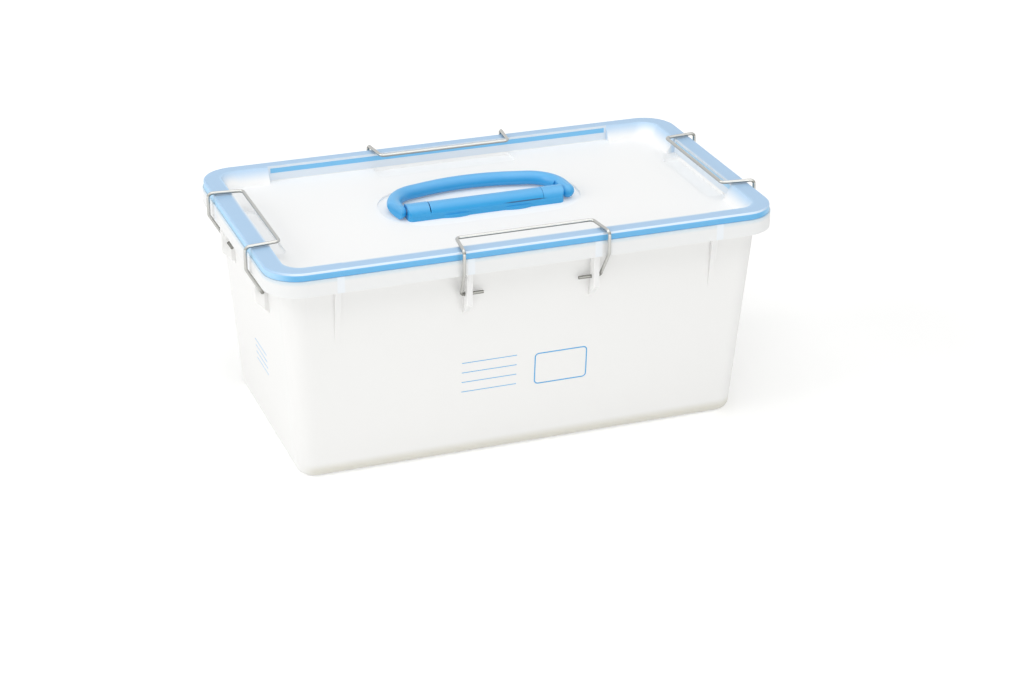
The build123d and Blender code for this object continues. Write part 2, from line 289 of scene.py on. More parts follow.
class TubSettings(bpy.types.PropertyGroup):
    wall: colour_prop("Wall", "Milky plastic of the walls", (0.845, 0.843, 0.832))
    # Painted shade: the wall is given this slightly darker tone under the skirt
    top: colour_prop("Top", "The same plastic under the skirt, with light behind it", (0.825, 0.825, 0.815))
    skirt: colour_prop("Skirt", "The skirt", (0.792, 0.800, 0.800))
    tinted: colour_prop("Tinted", "The skirt's top, where the seal shows through", (0.61, 0.705, 0.77))
    # Painted shade: the darker band where the wall turns under
    foot: colour_prop("Foot", "The darker band where the wall turns under", (0.71, 0.695, 0.63))
    # Painted light: duller outer edges and pale flanks on the lugs and ribs, against their light and shade
    lug: colour_prop("Lug", "The outer edges of the lugs and ribs", (0.825, 0.825, 0.818))
    lug_side: colour_prop("Lug side", "Their flanks, which let light through", (0.98, 0.98, 0.97))
    ghost: colour_prop("Ghost", "Ribs and lugs showing through the skirt", (0.80, 0.85, 0.90))
    # Painted light: the sole is painted pale and glows faintly, hiding the contact shadow at the foot
    sole: colour_prop("Sole", "The lowest edge, which the floor's light reaches", (0.97, 0.97, 0.96))
    painted_glow: strength_prop("Glow", "Light coming through the plastic at the sole", 0.065)
    foot_height: length_prop("Foot height", "Height of the foot's darker band", 0.0065)
    roughness: gloss_prop("Roughness", "Gloss of the walls", 0.42)


class LidSettings(bpy.types.PropertyGroup):
    panel: colour_prop("Panel", "The frosted panel", (0.894, 0.896, 0.892))
    rim: colour_prop("Rim", "The rim plate, with the seal showing through it", (0.365, 0.550, 0.760))
    # Painted highlight along the rim plate's clear edge
    edge: colour_prop("Edge", "The rim plate's clear edge", (0.70, 0.81, 0.92))
    # Painted light: the pockets and the handle's seat get this darker colour and a glow, which lifts the
    # contact shadows in them
    sunk: colour_prop("Sunk", "The pockets and the handle's seat", (0.775, 0.778, 0.775))
    painted_glow: strength_prop("Glow", "Light coming through the pockets and the seat", 0.15)
    wall: colour_prop("Wall", "The recess wall below the seal's window", (0.72, 0.79, 0.86))
    corner: colour_prop("Corner", "The leaning recess wall, tinted by the seal", (0.47, 0.65, 0.84))
    roughness: gloss_prop("Roughness", "Gloss of the rim plate", 0.33)
    frost: gloss_prop("Frost", "Gloss of the panel and the recess walls", 0.55)


class SealSettings(bpy.types.PropertyGroup):
    rubber: colour_prop("Rubber", "Soft blue ring seal", (0.14, 0.445, 0.75))
    inner: colour_prop("Inner", "The seal's inner side, which shows in the lid's recess", (0.19, 0.52, 0.83))
    # Painted light: the seal's short sides are painted paler
    ends: colour_prop("Ends", "The seal's paler short sides", (0.41, 0.66, 0.87))


class HandleSettings(bpy.types.PropertyGroup):
    body: colour_prop("Body", "Blue handle plastic", (0.108, 0.422, 0.762))
    # Painted shade: the handle's deeper colour low down, by the lid
    foot: colour_prop("Foot", "The same plastic low down, by the lid", (0.004, 0.325, 0.690))
    seam: colour_prop("Seam", "The open end of the seam between the cover and the base", (0.01, 0.10, 0.24))
    roughness: gloss_prop("Roughness", "Gloss of the handle", 0.36)


class ClipSettings(bpy.types.PropertyGroup):
    steel: colour_prop("Steel", "Drawn wire", (0.50, 0.50, 0.48))
    # Painted shade: the wire's underside and hooks are painted darker
    under: colour_prop("Under", "The underside and the hooks, which see little light", (0.27, 0.27, 0.25))
    wire_diameter: length_prop("Wire diameter", "Thickness of the wire", 0.0026)
    bend_radius: length_prop("Bend radius", "Centre line radius of the bends", 0.0036)
    hook_radius: length_prop("Hook radius", "Centre line radius where the ends turn in", 0.0026)
    sides: IntProperty(name="Sides", description="Facets round the wire", default=20, min=6, max=48)


class MarkSettings(bpy.types.PropertyGroup):
    ink: colour_prop("Ink", "Light blue print", (0.09, 0.40, 0.74))
    line: length_prop("Line", "Thickness of a writing line", 0.0006)
    outline: length_prop("Outline", "Thickness of a frame's line", 0.0010)
    rows: IntProperty(name="Rows", description="Writing lines in each field", default=4, min=1, max=12)
    proud: length_prop("Proud", "How far the ink stands on the wall", 0.00006)


class StageSettings(bpy.types.PropertyGroup):
    floor: colour_prop("Floor", "Pale floor", (0.92, 0.92, 0.912))
    lift: strength_prop("Lift", "Added to the floor where the camera sees it", 0.16)
    far_lift: strength_prop("Far lift", "The same, away from the box", 1.0)
    # Painted light on the floor beside the foot, hiding the contact shadow at the front and left
    painted_near_light: strength_prop("Near lift", "Added once more beside the foot, at the front and left", 0.17)
    sky: strength_prop("Sky", "Strength of the soft surround", 0.45)
    key: power_prop("Key", "Power of the key lamp", 15.5)
    top: power_prop("Top", "Power of the lamp overhead", 35.0)
    front: power_prop("Front", "Power of the two lamps by the camera", 15.8)


class BoxSettings(bpy.types.PropertyGroup):
    tub: PointerProperty(type=TubSettings)
    lid: PointerProperty(type=LidSettings)
    seal: PointerProperty(type=SealSettings)
    handle: PointerProperty(type=HandleSettings)
    clips: PointerProperty(type=ClipSettings)
    marks: PointerProperty(type=MarkSettings)
    stage: PointerProperty(type=StageSettings)


# --------------------------------------------------------------------------------------------------
# Tub, lid and seal

SKIRT_FACE = (1.6 * MM, 1.0 * MM)  # insets between which the skirt's outer face begins
LUG_FACE = (9.9 * MM, 9.2 * MM)  # insets between which lugs and ribs begin to stand out of the wall
LONG_SKIRT = (108 * MM, 110 * MM)  # distances from the middle, between which the long sides' skirt begins
SHORT_SKIRT = (194 * MM, 196 * MM)
RIB_HALF = 1.85 * MM  # half the thickness of a rib's and a lug's outer edge
LUG_HALF = 1.9 * MM
EDGE_SOFT = 0.15 * MM
GHOST_HALF = 2.0 * MM  # half the width of a rib or lug that shows through the skirt
GHOST_SOFT = 1.6 * MM
GHOST_SHARE = 0.7
TOP_SHADE = (120 * MM, LEDGE_BOTTOM)  # heights between which the wall takes its painted shade under the skirt
TINT_BOTTOM = 168 * MM  # where the seal begins to show through the skirt
FOOT_RISE = (0.3 * MM, 3.5 * MM)  # heights between which the foot's band of painted shade begins
FOOT_END = (-178 * MM, -166 * MM)  # along the box, between which the painted shade at the foot begins at the left
SOLE_EDGE = (1.6 * MM, 0.4 * MM)  # heights between which the sole's painted light begins: a pale, glowing edge that hides the contact shadow


class BOX_OT_tub(bpy.types.Operator):
    """Gives the tub its milky plastic, with painted shade at the foot and under the skirt, painted light on the
    lugs, ribs and sole, and ribs and lugs showing through the skirt
    """
    bl_idname = "box.tub"
    bl_label = "Tub"

    def execute(self, context):
        look = settings().tub
        material, tree, shader, axes = new_material("Milky plastic")
        height = axes[2]
        across = [calc(tree, "ABSOLUTE", axis) for axis in (axes[0], axes[1])]
        inset = inset_from(tree)
        skirt = calc(tree, "MULTIPLY", step(tree, height, SKIRT_BOTTOM - 0.3 * MM, SKIRT_BOTTOM),
                     step(tree, inset, *SKIRT_FACE))
        # Painted shade on the wall under the skirt
        colour = blend(tree, step(tree, height, *TOP_SHADE), look.wall, look.top)
        colour = blend(tree, skirt, colour, look.skirt)
        tinted = calc(tree, "MULTIPLY", skirt, step(tree, height, TINT_BOTTOM, FLANGE_TOP))
        colour = blend(tree, tinted, colour, look.tinted)
        colour = self.lugs(tree, colour, look, across, inset, skirt)
        colour = self.ghosts(tree, colour, look, across, skirt)
        # Painted shade in a band where the wall turns under at the foot
        foot = calc(tree, "MULTIPLY", step(tree, height, 2.0 * look.foot_height, 0.9 * look.foot_height),
                    step(tree, height, *FOOT_RISE))
        foot = calc(tree, "MULTIPLY", foot, step(tree, axes[0], *FOOT_END))
        colour = blend(tree, foot, colour, look.foot)
        # Painted light: the lowest edge is painted pale and glows, hiding the contact shadow there
        sole = step(tree, height, *SOLE_EDGE)
        colour = blend(tree, sole, colour, look.sole)
        finish_moulded(tree, shader, colour, grain_size=0.003, grain_depth=0.000005,
                       roughness=look.roughness, drift=0.015, scuffs=0.04)
        paint_glow(tree, shader, sole, look.painted_glow)
        dress("tub_body", material)
        return {"FINISHED"}

    def lugs(self, tree, colour, look, across, inset, skirt):
        """Paints light on the lugs and ribs where they stand out below the skirt: pale flanks against their
        shade, duller outer edges against their light.
        """
        faces = [band(tree, across[0], RIB_SPACING, RIB_HALF, EDGE_SOFT),
                 band(tree, across[0], LUG_SPACING, LUG_HALF, EDGE_SOFT),
                 band(tree, across[1], LUG_SPACING, LUG_HALF, EDGE_SOFT)]
        edges = calc(tree, "MAXIMUM", faces[0], calc(tree, "MAXIMUM", faces[1], faces[2]))
        proud = calc(tree, "MULTIPLY", step(tree, inset, *LUG_FACE), calc(tree, "SUBTRACT", 1.0, skirt))
        return blend(tree, proud, colour, blend(tree, edges, look.lug_side, look.lug))

    def ghosts(self, tree, colour, look, across, skirt):
        """Paler stretches of the skirt, where ribs and lugs show through it."""
        on_long = calc(tree, "MAXIMUM", band(tree, across[0], RIB_SPACING, GHOST_HALF, GHOST_SOFT),
                       band(tree, across[0], LUG_SPACING, GHOST_HALF, GHOST_SOFT))
        on_long = calc(tree, "MULTIPLY", on_long, step(tree, across[1], *LONG_SKIRT))
        on_short = calc(tree, "MULTIPLY", band(tree, across[1], LUG_SPACING, GHOST_HALF, GHOST_SOFT),
                        step(tree, across[0], *SHORT_SKIRT))
        ghost = calc(tree, "MULTIPLY", calc(tree, "MAXIMUM", on_long, on_short), skirt)
        return blend(tree, calc(tree, "MULTIPLY", ghost, GHOST_SHARE), colour, look.ghost)


WINDOW_IN = (1.5 * MM, 0.5 * MM)  # from the rim's inner edge to the middle, where a window's wall begins
WINDOW_SOFT = 0.3 * MM
LEAN_INSET = (6.0 * MM, -0.5 * MM)  # insets from the rim's inner edge, over which the recess wall is tinted
LEAN_HEIGHT = (PANEL_TOP + 0.1 * MM, PANEL_TOP + 0.6 * MM)
RIM_INSET = (0.4 * MM, -2.4 * MM)  # insets from the rim's inner edge, over which the rim's colour begins
RIM_HEIGHT = (170 * MM, 171 * MM)
CLEAR_INSET = (1.2 * MM, 0.5 * MM)  # insets from the lid's outline, over which the painted highlight on its clear edge begins
CLEAR_REACH = (197 * MM, 180 * MM)  # along the box, over which the painted highlight fades out at the short sides
CLEAR_SHARE = 0.9


class BOX_OT_lid(bpy.types.Operator):
    """Gives the lid its clear rim over the blue seal, its tinted recess wall and its frosted panel"""
    bl_idname = "box.lid"
    bl_label = "Lid"

    def execute(self, context):
        look = settings().lid
        material, tree, shader, axes = new_material("Clear frosted plastic")
        height = axes[2]
        inner = inset_from(tree, RIM_WIDTH[0], RIM_WIDTH[1], RECESS_CORNER)
        # Painted light: the sunken parts glow, lifting the contact shadow under the grip
        sunken = step(tree, height, PANEL_TOP, PANEL_TOP - 0.2 * MM)
        colour = blend(tree, sunken, look.panel, look.sunk)
        across = [calc(tree, "ABSOLUTE", axis) for axis in (axes[0], axes[1])]
        window = self.windows(tree, across)
        lean = calc(tree, "MULTIPLY", step(tree, inner, *LEAN_INSET), step(tree, height, *LEAN_HEIGHT))
        colour = blend(tree, lean, colour, blend(tree, window, look.corner, look.wall))
        rim = calc(tree, "MULTIPLY", step(tree, inner, *RIM_INSET), step(tree, height, *RIM_HEIGHT))
        colour = blend(tree, rim, colour, look.rim)
        # Painted highlight along the lid's outer top edge
        edge = calc(tree, "MULTIPLY", step(tree, inset_from(tree), *CLEAR_INSET),
                    step(tree, across[0], *CLEAR_REACH))
        colour = blend(tree, calc(tree, "MULTIPLY", edge, CLEAR_SHARE), colour, look.edge)
        rough = calc(tree, "MULTIPLY_ADD", rim, look.roughness - look.frost, look.frost)
        finish_moulded(tree, shader, colour, grain_size=0.004, grain_depth=0.0, roughness=rough, drift=0.01,
                       scuffs=0.0)
        paint_glow(tree, shader, sunken, look.painted_glow)
        dress("lid_panel", material)
        return {"FINISHED"}

    def windows(self, tree, across):
        """1 on the upright stretches of the recess wall, through which the seal shows."""
        parts = []
        for way in (0, 1):
            rim_edge = LID_HALF[1 - way] - RIM_WIDTH[1 - way]
            at_wall = step(tree, across[1 - way], rim_edge - WINDOW_IN[0], rim_edge - WINDOW_IN[1])
            within = step(tree, across[way], WINDOW_HALF[way] + WINDOW_SOFT, WINDOW_HALF[way] - WINDOW_SOFT)
            parts.append(calc(tree, "MULTIPLY", at_wall, within))
        return calc(tree, "MAXIMUM", *parts)


SEAL_MIDDLE = 174.2 * MM
SEAL_HALF = 0.8 * MM  # half the height of the seal's duller middle
SEAL_SOFT = 1.8 * MM
SEAL_GAIN = 1.15  # how much brighter its upper and lower edges are
SEAL_INSIDE = (5 * MM, 8 * MM)  # insets from the lid's outline, between which the seal's inner side begins
SEAL_END = (182 * MM, 199 * MM)  # along the box, between which the outer side takes its painted light at the short sides
SEAL_INNER_END = (170 * MM, 176 * MM)


class BOX_OT_seal(bpy.types.Operator):
    """Gives the ring seal its soft blue rubber, with painted light on its short sides"""
    bl_idname = "box.seal"
    bl_label = "Ring seal"

    def execute(self, context):
        material, tree, shader, axes = new_material("Blue rubber")
        middle = band(tree, axes[2], SEAL_MIDDLE, SEAL_HALF, SEAL_SOFT)
        look = settings().seal
        colour = blend(tree, middle, [min(1.0, SEAL_GAIN * part) for part in look.rubber], look.rubber)
        inner = step(tree, inset_from(tree), *SEAL_INSIDE)
        colour = blend(tree, inner, colour, look.inner)
        across = calc(tree, "ABSOLUTE", axes[0])
        # Painted light on the seal's short sides and the ends of its inner side
        end = calc(tree, "MAXIMUM", step(tree, across, *SEAL_END),
                   calc(tree, "MULTIPLY", inner, step(tree, across, *SEAL_INNER_END)))
        colour = blend(tree, end, colour, look.ends)
        finish_moulded(tree, shader, colour, grain_size=0.0003, grain_depth=0.00001, roughness=0.55,
                       drift=0.05, scuffs=0.02)
        dress("lid_seal", material)
        return {"FINISHED"}


# --------------------------------------------------------------------------------------------------
# Handle and its fastenings

COVER_MIDDLE = -0.8 * MM  # along the box, as the handle sits a little to the left
COVER_HALF = 46.0 * MM
COVER_DROP = -1.2 * MM  # added to heights on the cover, so that its painted low shade starts further up
LOW_SHADE = (175.2 * MM, 168.5 * MM)  # heights between which the handle takes its painted low shade
PALER_SHARE = 0.3  # how much of it is lost again below the seam
RUBBED_GAIN = 0.03
RUBBED_SHARE = 0.4
SEAM_HEIGHT = 169.7 * MM
SEAM_HALF = 0.3 * MM  # half the seam's height, and its soft edge
SEAM_MIDDLE = 30 * MM  # along the box, where the seam gapes
SEAM_REACH = 10 * MM


class BOX_OT_handle(bpy.types.Operator):
    """Gives the handle's base, cover and grip their blue plastic, with painted shade low down"""
    bl_idname = "box.handle"
    bl_label = "Handle"

    def execute(self, context):
        look = settings().handle
        material, tree, shader, axes = new_material("Blue handle plastic")
        worn = put(tree, "ShaderNodeTexNoise", {"Scale": 60.0, "Detail": 3.0,
                                                "Vector": put(tree, "ShaderNodeTexCoord").outputs["Object"]})
        rubbed = [min(1.0, part + RUBBED_GAIN) for part in look.body]
        colour = blend(tree, calc(tree, "MULTIPLY", step(tree, worn.outputs[0], 0.45, 0.75), RUBBED_SHARE),
                       look.body, rubbed)
        at_cover = calc(tree, "MULTIPLY", band(tree, axes[0], COVER_MIDDLE, COVER_HALF, 0.4 * MM),
                        step(tree, axes[1], 6 * MM, 4 * MM))
        height = calc(tree, "MULTIPLY_ADD", at_cover, COVER_DROP, axes[2])
        # Painted shade, deeper towards the lid
        low = step(tree, height, *LOW_SHADE)
        paler = calc(tree, "MULTIPLY", step(tree, axes[2], SEAM_HEIGHT, LOW_SHADE[1]), PALER_SHARE)
        colour = blend(tree, calc(tree, "SUBTRACT", low, paler), colour, look.foot)
        seam = calc(tree, "MULTIPLY", band(tree, axes[2], SEAM_HEIGHT, SEAM_HALF, SEAM_HALF),
                    calc(tree, "MULTIPLY", band(tree, axes[0], SEAM_MIDDLE, SEAM_REACH, SEAM_REACH),
                         step(tree, axes[1], -10 * MM, -12 * MM)))
        colour = blend(tree, seam, colour, look.seam)
        finish_moulded(tree, shader, colour, grain_size=0.0004, grain_depth=0.000005,
                       roughness=look.roughness, drift=0.04, scuffs=0.04)
        for node in ("handle_base", "handle_cover", "handle_grip"):
            dress(node, material)
        return {"FINISHED"}


class BOX_OT_hardware(bpy.types.Operator):
    """Gives the hinge pins and screws their turned steel, and the washers their black rubber"""
    bl_idname = "box.hardware"
    bl_label = "Pins, screws and washers"

    def execute(self, context):
        steel, tree, shader, _ = new_material("Turned steel")
        finish_moulded(tree, shader, (0.60, 0.60, 0.58), grain_size=0.0002, grain_depth=0.000004,
                       roughness=0.3, drift=0.08, scuffs=0.1)
        shader.inputs["Metallic"].default_value = 1.0
        for node in ("handle_pin_left", "handle_pin_right", "handle_screws"):
            dress(node, steel)
        rubber, tree, shader, _ = new_material("Black rubber")
        finish_moulded(tree, shader, (0.03, 0.03, 0.032), grain_size=0.0003, grain_depth=0.00001,
                       roughness=0.7, drift=0.2, scuffs=0.05)
        dress("screw_washers", rubber)
        return {"FINISHED"}


# --------------------------------------------------------------------------------------------------
# Wire clips

WIRE_TOP = 180.2 * MM
PIVOT_HEIGHT = 140.8 * MM
SHOULDER_HEIGHT = 162.6 * MM
PIVOT_INSET = 7.9 * MM
LEG_INSET = -4.6 * MM
BAR_INSET = 22.1 * MM
BAR_HALF = 54.1 * MM
SHOULDER_HALF = 57.0 * MM
HOOK_HALF = 55.2 * MM
TIP_HALF = 37.9 * MM
HOOK_SHADE = (145 * MM, 142 * MM)  # heights between which the hooks take their painted shade
BEND_POINTS = 8  # in each bend's arc
CRISP_ANGLE = 50  # degrees; only sharper edges of the wire stay crisp
LINE_POINTS = 10  # corners and tips of a clip's centre line
HOOK_FROM_MIDDLE = 3.0  # the hooks' corners lie further than this from the middle of those points
CLIPS = (("front", 0, LID_HALF[1]), ("right", 90, LID_HALF[0]),
         ("back", 180, LID_HALF[1]), ("left", 270, LID_HALF[0]))


def wire_line(reach):
    """The corners of one closed clip's centre line on the front side, from tip to tip."""
    half = [
        (TIP_HALF, PIVOT_INSET - reach, PIVOT_HEIGHT),
        (HOOK_HALF, PIVOT_INSET - reach, PIVOT_HEIGHT),
        (SHOULDER_HALF, LEG_INSET - reach, SHOULDER_HEIGHT),
        (SHOULDER_HALF, LEG_INSET - reach, WIRE_TOP),
        (BAR_HALF, BAR_INSET - reach, WIRE_TOP),
    ]
    return half + [(-x, y, z) for x, y, z in reversed(half)]


def new_geometry_tree(name, **kinds):
    """An empty geometry tree with one input for each kind given, and one geometry output."""
    tree = bpy.data.node_groups.new(name, "GeometryNodeTree")
    for label, kind in kinds.items():
        tree.interface.new_socket(label.replace("_", " "), in_out="INPUT", socket_type=f"NodeSocket{kind}")
    tree.interface.new_socket("Geometry", in_out="OUTPUT", socket_type="NodeSocketGeometry")
    return tree, tree.nodes.new("NodeGroupInput").outputs, tree.nodes.new("NodeGroupOutput").inputs


def round_corners(tree, curve, radius, points):
    """The curve with each corner rounded by an arc of so many points."""
    rounded = put(tree, "GeometryNodeFilletCurve", {"Curve": curve, "Radius": radius}, mode="POLY")
    rounded.inputs["Count"].default_value = points
    return rounded.outputs[0]


def send_out(tree, geometry, given, result):
    """Makes the geometry real, gives it the tree's material and sends it out."""
    whole = put(tree, "GeometryNodeRealizeInstances", {"Geometry": geometry})
    painted = put(tree, "GeometryNodeSetMaterial", {"Geometry": whole.outputs[0],
                                                    "Material": given["Material"]})
    tree.links.new(painted.outputs[0], result["Geometry"])
    return tree


def bent_wire_tree():
    """A geometry tree that rounds the corners of a line and runs wire along it."""
    tree, given, result = new_geometry_tree("Bent wire", Geometry="Geometry", Diameter="Float",
                                            Bend_radius="Float", Hook_radius="Float", Sides="Int",
                                            Material="Material")
    index = put(tree, "GeometryNodeInputIndex").outputs[0]
    from_middle = calc(tree, "ABSOLUTE", calc(tree, "SUBTRACT", index, (LINE_POINTS - 1) / 2))
    at_hook = calc(tree, "GREATER_THAN", from_middle, HOOK_FROM_MIDDLE)
    spread = calc(tree, "SUBTRACT", given["Hook radius"], given["Bend radius"])
    radius = calc(tree, "MULTIPLY_ADD", at_hook, spread, given["Bend radius"])
    bent = round_corners(tree, given["Geometry"], radius, BEND_POINTS)
    half = calc(tree, "MULTIPLY", given["Diameter"], 0.5)
    section = put(tree, "GeometryNodeCurvePrimitiveCircle", {"Resolution": given["Sides"], "Radius": half})
    wire = put(tree, "GeometryNodeCurveToMesh", {"Curve": bent, "Profile Curve": section.outputs[0],
                                                 "Fill Caps": True})
    return send_out(tree, wire.outputs[0], given, result)


def run_tree(host, tree, inputs, name):
    """Runs a geometry tree on host and keeps the result as a plain mesh object."""
    modifier = host.modifiers.new("Tree", "NODES")
    modifier.node_group = tree
    for item in tree.interface.items_tree:
        if item.in_out == "INPUT" and item.name in inputs:
            modifier[item.identifier] = inputs[item.name]
    bpy.context.view_layer.update()
    seen = host.evaluated_get(bpy.context.evaluated_depsgraph_get())
    mesh = bpy.data.meshes.new_from_object(seen)
    host.modifiers.remove(modifier)
    bpy.data.objects.remove(host)
    piece = bpy.data.objects.new(name, mesh)
    bpy.context.scene.collection.objects.link(piece)
    return piece


def smooth(piece, angle):
    """Smooth shading, with edges sharper than angle kept crisp."""
    piece.data.shade_smooth()
    piece.data.set_sharp_from_angle(angle=math.radians(angle))


class BOX_OT_clips(bpy.types.Operator):
    """Bends the four wire clips out of drawn stainless wire"""
    bl_idname = "box.clips"
    bl_label = "Wire clips"

    def execute(self, context):
        look = settings().clips
        material, tree, shader, axes = new_material("Drawn wire")
        # Painted shade on the top bar's underside and on the hooks
        bar_under = calc(tree, "MULTIPLY", step(tree, axes[2], WIRE_TOP + 0.6 * MM, WIRE_TOP - 0.9 * MM),
                         step(tree, axes[2], WIRE_TOP - 2.5 * MM, WIRE_TOP - 1.5 * MM))
        low = calc(tree, "MAXIMUM", step(tree, axes[2], *HOOK_SHADE), bar_under)
        colour = blend(tree, low, look.steel, look.under)
        finish_moulded(tree, shader, colour, grain_size=0.00025, grain_depth=0.000006, roughness=0.3,
                       drift=0.10, scuffs=0.12)
        shader.inputs["Metallic"].default_value = 1.0
        wire = bent_wire_tree()
        for side, turn, reach in CLIPS:
            curve = bpy.data.curves.new(f"line_{side}", "CURVE")
            curve.dimensions = "3D"
            corners = wire_line(reach)
            spline = curve.splines.new("POLY")
            spline.points.add(len(corners) - 1)
            spin = Matrix.Rotation(math.radians(turn), 4, "Z")
            for point, corner in zip(spline.points, corners):
                point.co = (*(spin @ Vector(corner)), 1.0)
            host = bpy.data.objects.new(f"line_{side}", curve)
            bpy.context.scene.collection.objects.link(host)
            piece = run_tree(host, wire, {"Diameter": look.wire_diameter, "Bend radius": look.bend_radius,
                                          "Hook radius": look.hook_radius, "Sides": look.sides,
                                          "Material": material}, f"wire_clip_{side}")
            smooth(piece, CRISP_ANGLE)
            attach(piece, f"clip_{side}")
            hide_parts(f"clip_{side}")
        return {"FINISHED"}


# --------------------------------------------------------------------------------------------------
# Printed writing fields

CORNER_POINTS = 6  # in each of a frame's corners


def wall_place(turn, along, height):
    """The frame of a spot on a wall: X to the right as seen from outside, Y up the wall, Z out of it."""
    slope = (WALL_INSET[0] - WALL_INSET[1]) / LEDGE_BOTTOM
    inset = WALL_INSET[0] - slope * height
    reach = LID_HALF[1] if turn % 180 == 0 else LID_HALF[0]
    lean = math.atan(slope)
    spot = Matrix.Translation((along, inset - reach, height))
    return Matrix.Rotation(math.radians(turn), 4, "Z") @ spot @ Matrix.Rotation(math.pi / 2 + lean, 4, "X")


def ink_tree():
    """A geometry tree of printed writing lines: a bar repeated up the field."""
    tree, given, result = new_geometry_tree("Writing field", Rows="Int", Width="Float", Height="Float",
                                            Line="Float", Proud="Float", Material="Material")
    pitch = calc(tree, "DIVIDE", given["Height"], given["Rows"])
    low = calc(tree, "MULTIPLY", calc(tree, "SUBTRACT", given["Rows"], 1.0),
               calc(tree, "MULTIPLY", pitch, -0.5))
    rows = put(tree, "GeometryNodeMeshLine", {
        "Count": given["Rows"],
        "Start Location": put(tree, "ShaderNodeCombineXYZ", {1: low}).outputs[0],
        "Offset": put(tree, "ShaderNodeCombineXYZ", {1: pitch}).outputs[0]})
    size = put(tree, "ShaderNodeCombineXYZ", {0: given["Width"], 1: given["Line"], 2: given["Proud"]})
    bar = put(tree, "GeometryNodeMeshCube", {"Size": size.outputs[0]})
    lines = put(tree, "GeometryNodeInstanceOnPoints", {"Points": rows.outputs[0], "Instance": bar.outputs[0]})
    return send_out(tree, lines.outputs[0], given, result)


def frame_tree():
    """A geometry tree of one printed frame: a rounded rectangle drawn with a flat line."""
    tree, given, result = new_geometry_tree("Printed frame", Width="Float", Height="Float", Corner="Float",
                                            Line="Float", Proud="Float", Material="Material")
    outline = put(tree, "GeometryNodeCurvePrimitiveQuadrilateral", {"Width": given["Width"],
                                                                    "Height": given["Height"]})
    rounded = round_corners(tree, outline.outputs[0], given["Corner"], CORNER_POINTS)
    section = put(tree, "GeometryNodeCurvePrimitiveQuadrilateral", {"Width": given["Line"],
                                                                    "Height": given["Proud"]})
    ring = put(tree, "GeometryNodeCurveToMesh", {"Curve": rounded, "Profile Curve": section.outputs[0]})
    return send_out(tree, ring.outputs[0], given, result)


def empty_host(name):
    """A mesh object with nothing in it, to run a geometry tree on."""
    host = bpy.data.objects.new(name, bpy.data.meshes.new(name))
    bpy.context.scene.collection.objects.link(host)
    return host


class BOX_OT_marks(bpy.types.Operator):
    """Prints plain blank writing fields on the front, left and back walls"""
    bl_idname = "box.marks"
    bl_label = "Writing fields"

    def execute(self, context):
        look = settings().marks
        material, tree, shader, _ = new_material("Blue ink")
        finish_moulded(tree, shader, look.ink, grain_size=0.0003, grain_depth=0.000004, roughness=0.5,
                       drift=0.12, scuffs=0.1)
        lines, outline = ink_tree(), frame_tree()
        # A field's name, its tree, its wall, its place along and up that wall, and its sizes
        fields = (
            ("front_lines", lines, 0, -0.030, 0.068, {"Rows": look.rows, "Width": 0.044, "Height": 0.033}),
            ("front_frame", outline, 0, 0.028, 0.066, {"Width": 0.042, "Height": 0.026, "Corner": 0.003}),
            ("left_lines", lines, 270, 0.005, 0.066, {"Rows": look.rows, "Width": 0.034, "Height": 0.022}),
            ("back_frame", outline, 180, 0.0, 0.05, {"Width": 0.07, "Height": 0.032, "Corner": 0.003}),
        )
        for name, field_tree, turn, along, height, sizes in fields:
            line = look.outline if field_tree is outline else look.line
            inputs = {"Line": line, "Proud": look.proud, "Material": material, **sizes}
            piece = run_tree(empty_host(name), field_tree, inputs, f"writing_{name}")
            piece.data.transform(wall_place(turn, along, height))
            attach(piece, "tub")
        return {"FINISHED"}


# --------------------------------------------------------------------------------------------------
# Stage

FLOOR_HALF = 30.0
FLOOR_LEVEL = -0.2 * MM  # a hair below the box
FLOOR_GRAIN = (0.95, 0.95, 0.95)
FAR = (0.35, 2.0)  # distances from the box's middle, between which the floor takes its far lift
PAINTED_LIGHT_FRONT = (-60 * MM, -90 * MM)  # along Y, between which the painted light beside the foot begins at the front
PAINTED_LIGHT_LEFT = (-150 * MM, -175 * MM)  # along X, between which it begins at the left
NEAR_INSET = (-8 * MM, 0.0)  # insets from the foot's outline, over which it grows to its full strength
LAMP_AIM = Vector((0, 0, 0.1))
LAMPS = (  # name, place, side, the setting that holds its power, and the share of that power
    ("key", (-1.9, 0.1, 1.0), 1.4, "key", 1.0),
    ("top", (0.1, -0.4, 2.4), 3.0, "top", 1.0),
    ("front_left", (-1.1, -2.1, 0.6), 1.2, "front", 0.45),
    ("front_right", (0.9, -2.2, 0.6), 1.2, "front", 0.55),
)


